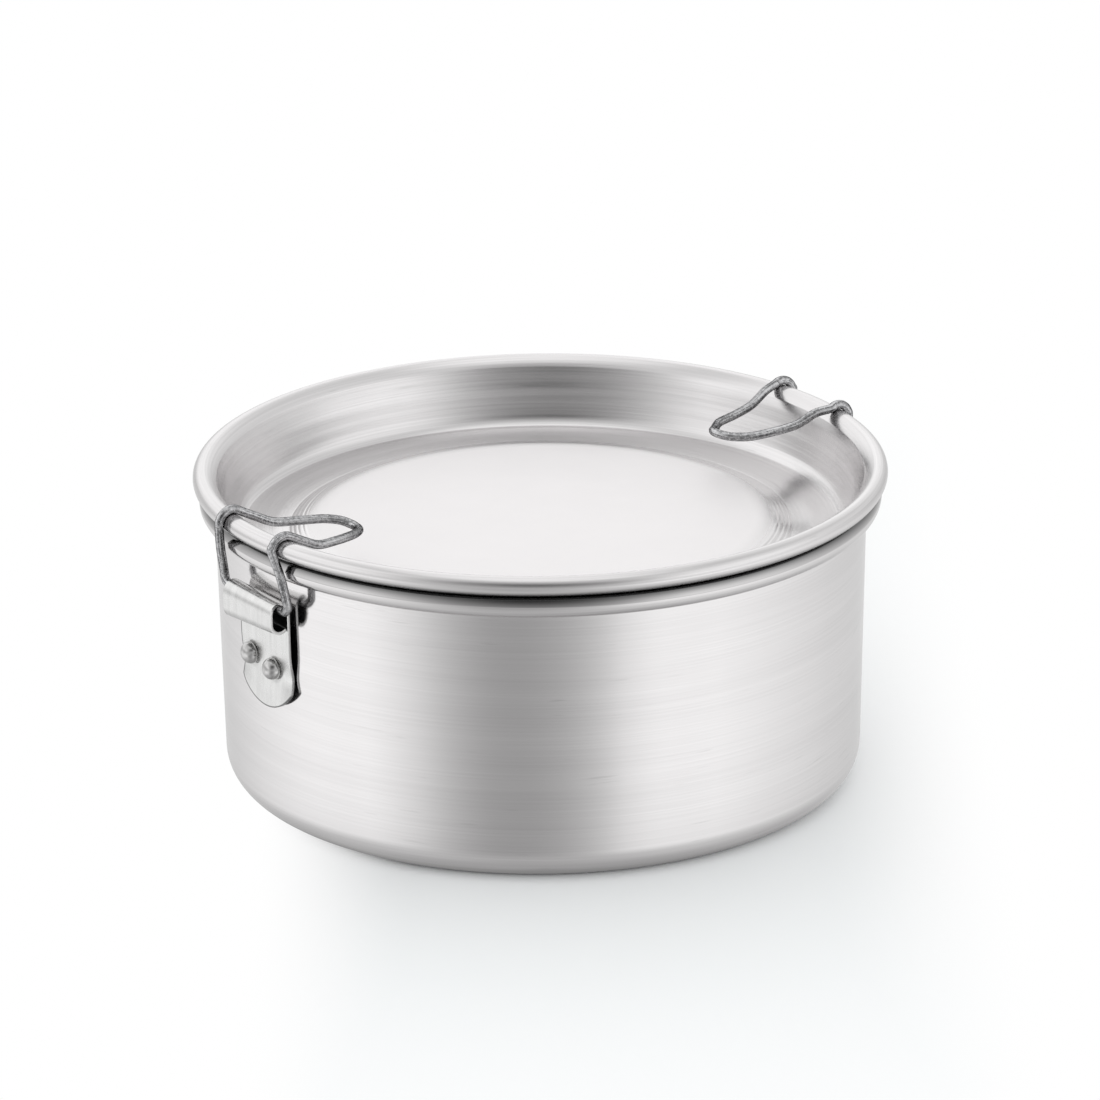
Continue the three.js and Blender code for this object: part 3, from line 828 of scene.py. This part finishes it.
ZINC_COLOURS = [(0.17, 0.17, 0.175, 1), (0.62, 0.62, 0.63, 1)]
ZINC_RANGE = (0.75, 1.25)
ZINC_ROUGHNESS = (0.16, 0.32)
ZINC_RELIEF = 0.07 * MM
ZINC_STRENGTH = 0.6
ZINC_EDGE_TINT = (0.2, 0.2, 0.2, 1)
DIE_LINES_ROUND = 3.5
DIE_LINES_PER_METRE = 90.0
DIE_DETAIL = 2.0
DIE_RANGE = (0.36, 0.64)
DIE_SHARE = (0.25, 0.75)
MOTTLE_PER_METRE = 1100.0
MOTTLE_DETAIL = 5.0
FLECKS_PER_METRE = 2600.0
FLECK_DETAIL = 2.0
FLECK_PEAKS = (0.60, 0.68)
FLECK_COLOUR = (0.72, 0.72, 0.72, 1)


def smooth_path(points, steps):
    """A smooth curve through points, with so many steps between each two."""
    path = []
    ends = [points[0] * 2 - points[1]] + points + [points[-1] * 2 - points[-2]]
    for a, b, c, d in zip(ends, ends[1:], ends[2:], ends[3:]):
        for k in range(steps):
            t = k / steps
            path.append(0.5 * (2 * b + (c - a) * t + (2 * a - 5 * b + 4 * c - d) * t * t
                               + (3 * b - a - 3 * c + d) * t ** 3))
    return path + [points[-1]]


def bail_path(pivot, loop, rim_touch):
    """The middle of the wire of a right-hand bail."""
    bend_y = bracket_half + BARREL_PLAY
    bead_x = pivot.x - math.sqrt(lid_bead.x ** 2 - RIM_HALF_SPREAD ** 2)
    hug = lid_bead_radius + rim_touch + WIRE / 2

    def leg(hand):
        """One leg, from its end in the barrel to the top of the lid's rim. Hand is 1 or -1."""
        places = [(0, bend_y - PIN_LENGTH, 0), (0, bend_y - PIN_LENGTH / 2, 0)]
        bend = arc((bend_y, BEND_RADIUS), BEND_RADIUS, -math.pi / 2, 0, BEND_STEPS)
        places += [(0, *at) for at in bend]
        places.append([size * MM for size in LEG_MIDDLE])
        over_rim = arc((bead_x, lid_bead.y - pivot.z), hug, math.pi, RIM_TURN_END, RIM_TURN_STEPS)
        places += [(at.x, RIM_HALF_SPREAD, at.y) for at in over_rim]
        return [(inwards, hand * aside, rise) for inwards, aside, rise in places]

    tip = [[size * MM for size in point] for point in loop]
    places = leg(1) + tip + leg(-1)[::-1]
    points = [Vector((pivot.x - inwards, aside, pivot.z + rise)) for inwards, aside, rise in places]
    return smooth_path(points, STEPS_PER_POINT)


def wire_tree():
    """Draws a round wire along a row of points, with the slight lumps of dipped zinc."""
    sizes = {"Wire radius": "NodeSocketFloat", "Steps round": "NodeSocketInt", "Lumps": "NodeSocketFloat",
             "Seed": "NodeSocketInt"}
    tree, given = geometry_tree("draw_wire", sizes)
    where = node(tree, "GeometryNodeInputPosition").outputs[0]

    def marked(geometry, name, value, kind):
        """Keeps a value on the points of a curve, for the material to read."""
        return node(tree, "GeometryNodeStoreNamedAttribute",
                    {"Geometry": geometry, "Name": name, "Value": value}, data_type=kind).outputs[0]

    line = node(tree, "GeometryNodeMeshToCurve", {"Mesh": given["Drawing"]}).outputs[0]
    length = node(tree, "GeometryNodeSplineParameter").outputs["Length"]
    ring = node(tree, "GeometryNodeCurvePrimitiveCircle",
                {"Radius": given["Wire radius"], "Resolution": given["Steps round"]}).outputs[0]
    spoke = vector_maths(tree, "NORMALIZE", where)["Vector"]
    wire = node(tree, "GeometryNodeCurveToMesh",
                {"Curve": marked(line, "along", length, "FLOAT"),
                 "Profile Curve": marked(ring, "spoke", spoke, "FLOAT_VECTOR"), "Fill Caps": True})
    lumps = noise(tree, where, LUMPS_PER_METRE, LUMP_DETAIL, given["Seed"])["Fac"]
    amount = maths(tree, "MULTIPLY", maths(tree, "SUBTRACT", lumps, 0.5), given["Lumps"])
    outwards = node(tree, "GeometryNodeInputNormal").outputs[0]
    dipped = node(tree, "GeometryNodeSetPosition",
                  {"Geometry": wire.outputs[0], "Offset": scaled(tree, outwards, amount)})
    return close_tree(tree, given, dipped.outputs[0])


def galvanised_wire():
    """Dull zinc: lines from the drawing die along the wire, dark and pale mottling, and rubbed flecks."""
    material, tree, shader, place = metal_material("galvanised_wire")
    along = node(tree, "ShaderNodeAttribute", attribute_name="along").outputs["Fac"]
    spoke = node(tree, "ShaderNodeAttribute", attribute_name="spoke").outputs["Vector"]
    across = scaled(tree, spoke, DIE_LINES_ROUND)
    drawn = maths(tree, "MULTIPLY", along, DIE_LINES_PER_METRE)
    die = noise(tree, across, 1.0, DIE_DETAIL, drawn)["Fac"]
    mottle = noise(tree, place, MOTTLE_PER_METRE, MOTTLE_DETAIL)["Fac"]
    flecks = noise(tree, place, FLECKS_PER_METRE, FLECK_DETAIL)["Fac"]
    tone = maths(tree, "ADD", spread(tree, die, DIE_RANGE, DIE_SHARE), mottle)
    zinc = blend_colours(tree, spread(tree, tone, ZINC_RANGE), *ZINC_COLOURS)
    set_finish(tree, shader, blend_colours(tree, spread(tree, flecks, FLECK_PEAKS), zinc, FLECK_COLOUR),
               spread(tree, mottle, ONE_NOISE, ZINC_ROUGHNESS),
               relief(tree, tone, ZINC_STRENGTH, ZINC_RELIEF))
    shader.inputs["Specular Tint"].default_value = ZINC_EDGE_TINT
    return material


zinc_wire = galvanised_wire()
draw_wire = wire_tree()
pivots = {j["child"]: Vector(j["pos_m"]) for j in frame["joints"] if j["type"] == "hinge"}
for side_name, side, loop, rim_touch in (("left", -1, LEFT_LOOP, LEFT_RIM_TOUCH),
                                         ("right", 1, RIGHT_LOOP, RIGHT_RIM_TOUCH)):
    path = bail_path(pivots["right_bail"], loop, rim_touch)
    path = [Vector((side * p.x, side * p.y, p.z)) for p in path]
    bail = made_by(draw_wire, drawing(f"bail_drawing_{side_name}", path, linked=True),
                   f"wire_bail_{side_name}", wire_radius=WIRE / 2, steps_round=WIRE_STEPS_ROUND,
                   lumps=WIRE_LUMPS, seed=WIRE_SEED, metal=zinc_wire)
    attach(bail, f"{side_name}_bail")
    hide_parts(f"bail_{side_name}")


# Studio. A pale table under an even white sky, with no lamps. Reflections show the studio round the box:
# a dim room in front, wide soft panels at both sides, and a white wall behind.
CAMERA_TURN = math.radians(-34.336)
CAMERA_TILT = math.radians(19.96)
CAMERA_ROLL = math.radians(-0.605)
CAMERA_DISTANCE = 1976 * MM
CAMERA_CLIP = 20.0
AIM_RIGHT = 2.468 * MM
AIM_UP = 63.9 * MM
FOCAL_PIXELS = 7060.6
IMAGE_PIXELS = 1100

scene.view_settings.view_transform = "Standard"

front = Vector((math.sin(CAMERA_TURN), -math.cos(CAMERA_TURN), 0))
back = front * math.cos(CAMERA_TILT) + Vector((0, 0, math.sin(CAMERA_TILT)))
right = Vector((math.cos(CAMERA_TURN), math.sin(CAMERA_TURN), 0))
up = back.cross(right)
rolled_right = right * math.cos(CAMERA_ROLL) + up * math.sin(CAMERA_ROLL)
rolled_up = up * math.cos(CAMERA_ROLL) - right * math.sin(CAMERA_ROLL)
camera_data = bpy.data.cameras.new("camera")
camera_data.lens = FOCAL_PIXELS / IMAGE_PIXELS * camera_data.sensor_width
camera_data.clip_end = CAMERA_CLIP
camera = bpy.data.objects.new("camera", camera_data)
aim = right * AIM_RIGHT + Vector((0, 0, AIM_UP))
turned = Matrix((rolled_right, rolled_up, back)).transposed().to_4x4()
camera.matrix_world = Matrix.Translation(aim + back * CAMERA_DISTANCE) @ turned
scene.collection.objects.link(camera)
scene.camera = camera


# Brightness of the studio as the metal sees it: for each elevation, rows of (degrees to the right of the
# camera, level) round the box
STUDIO = [
    (-85, [(-180, 0.32), (-90, 0.46), (0, 0.40), (90, 0.46), (180, 0.32)]),
    (-50, [(-180, 0.34), (-120, 0.58), (-60, 0.66), (-8, 0.38), (50, 0.66), (110, 0.58), (180, 0.34)]),
    (-22, [(-180, 0.58), (-153, 0.64), (-132, 0.78), (-115, 0.90), (-98, 0.99), (-70, 1.03), (-58, 0.94),
           (-45, 0.73), (-34, 0.53), (-23, 0.39), (-14, 0.35), (-4, 0.35), (6, 0.42), (14, 0.51),
           (22, 0.66), (29, 0.83), (40, 1.0), (56, 1.03), (70, 0.99), (87, 0.90), (105, 0.81), (123, 0.73),
           (153, 0.62), (180, 0.58)]),
    (-3, [(-180, 0.62), (-150, 0.50), (-115, 0.60), (-60, 0.66), (-25, 0.48), (10, 0.48), (55, 0.72),
          (110, 0.62), (150, 0.48), (180, 0.62)]),
    (18, [(-180, 1.0), (-92, 1.05), (-77, 1.2), (-60, 0.96), (-43, 0.58), (-27, 0.31), (-10, 0.23),
          (4, 0.24), (20, 0.35), (35, 0.68), (52, 1.06), (69, 1.14), (88, 0.94), (110, 0.70), (145, 0.66),
          (165, 0.85), (180, 1.0)]),
    (38, [(-180, 1.0), (-90, 1.0), (-62, 0.88), (-38, 0.42), (-20, 0.14), (-6, 0.08), (10, 0.12),
          (26, 0.34), (50, 0.85), (80, 0.85), (110, 0.66), (145, 0.62), (165, 0.85), (180, 1.0)]),
    (61, [(-180, 1.0), (-150, 0.80), (-110, 0.66), (-60, 0.72), (-20, 0.46), (10, 0.46), (55, 0.72),
          (110, 0.60), (150, 0.72), (180, 1.0)]),
    (80, [(-180, 1.0), (-90, 0.92), (0, 0.92), (90, 0.92), (180, 1.0)]),
]
STUDIO_LEVEL = 1.24
WHITE = (1, 1, 1, 1)
TABLE_HALF = 3.0
TABLE_COLOUR = (0.965, 0.985, 0.99, 1)
# Where the lit table runs out into plain white: away from the axis, and to the left and right of it
FADE_ROUND = (140 * MM, 360 * MM)
FADE_LEFT = (-35 * MM, -80 * MM)
FADE_RIGHT = (75 * MM, 130 * MM)
# How much of the studio the table lets through in reflections, by distance from the box's axis
FOOT_REACH = 160 * MM
FOOT_SHADE = [(82.4 * MM, 0.08), (83.8 * MM, 0.55), (87 * MM, 0.88), (96 * MM, 0.93), (FOOT_REACH, 1.0)]


def grey_ramp(tree, share, stops, interpolation="LINEAR"):
    """A grey that follows stops (position, level) along a share."""
    ramp = node(tree, "ShaderNodeValToRGB", {"Fac": share})
    ramp.color_ramp.interpolation = interpolation
    elements = ramp.color_ramp.elements
    for i, (position, level) in enumerate(stops):
        stop = elements[i] if i < len(elements) else elements.new(1.0)
        stop.position = position
        stop.color = (level, level, level, 1)
    return ramp.outputs["Color"]


def studio_world():
    """An even white sky, with the studio in its place wherever metal reflects it."""
    world = bpy.data.worlds.new("studio")
    scene.world = world
    world.use_nodes = True
    tree = world.node_tree
    direction = node(tree, "ShaderNodeTexCoord").outputs["Generated"]
    height = parts_of(tree, direction)["Z"]
    ahead = vector_maths(tree, "DOT_PRODUCT", direction, front)["Value"]
    aside = vector_maths(tree, "DOT_PRODUCT", direction, right)["Value"]
    turn = spread(tree, maths(tree, "ARCTAN2", aside, ahead), (-math.pi, math.pi))
    seen, below = None, None
    for elevation, levels in STUDIO:
        stops = [(degrees / 360 + 0.5, level) for degrees, level in levels]
        ring = grey_ramp(tree, turn, stops, "B_SPLINE")
        sine = math.sin(math.radians(elevation))
        seen = ring if seen is None else blend_colours(tree, eased(tree, height, below, sine), seen, ring)
        below = sine
    glossy = node(tree, "ShaderNodeLightPath").outputs["Is Glossy Ray"]
    shown = blend_colours(tree, glossy, WHITE, scaled(tree, seen, STUDIO_LEVEL))
    tree.links.new(shown, tree.nodes["Background"].inputs["Color"])


def table():
    """The table: lit and shadowed near the box, and plain white further out."""
    mesh = bpy.data.meshes.new("table")
    corners = [(TABLE_HALF * x, TABLE_HALF * y, 0) for x, y in ((-1, -1), (1, -1), (1, 1), (-1, 1))]
    mesh.from_pydata(corners, [], [(0, 1, 2, 3)])
    made = bpy.data.objects.new("table", mesh)
    scene.collection.objects.link(made)
    material = bpy.data.materials.new("pale_table")
    material.use_nodes = True
    tree = material.node_tree
    tree.nodes.remove(tree.nodes["Principled BSDF"])
    place = node(tree, "ShaderNodeTexCoord").outputs["Object"]
    away = vector_maths(tree, "LENGTH", place)["Value"]
    aside = vector_maths(tree, "DOT_PRODUCT", place, right)["Value"]
    far = 0.0
    for distance, fade in ((away, FADE_ROUND), (aside, FADE_LEFT), (aside, FADE_RIGHT)):
        far = maths(tree, "MAXIMUM", far, eased(tree, distance, *fade))
    lit = node(tree, "ShaderNodeBsdfDiffuse", {"Color": TABLE_COLOUR}).outputs[0]
    white = node(tree, "ShaderNodeEmission", {"Color": WHITE, "Strength": 1.0}).outputs[0]
    top = node(tree, "ShaderNodeMixShader", {0: far, 1: lit, 2: white}).outputs[0]
    # In reflections only the shade under the box and round its foot shows, over the studio's own levels.
    stops = [(distance / FOOT_REACH, level) for distance, level in FOOT_SHADE]
    near = grey_ramp(tree, spread(tree, away, (0.0, FOOT_REACH)), stops)
    shade = node(tree, "ShaderNodeBsdfTransparent", {"Color": near}).outputs[0]
    glossy = node(tree, "ShaderNodeLightPath").outputs["Is Glossy Ray"]
    whole = node(tree, "ShaderNodeMixShader", {0: glossy, 1: top, 2: shade}).outputs[0]
    tree.links.new(whole, tree.nodes["Material Output"].inputs["Surface"])
    mesh.materials.append(material)


studio_world()
table()
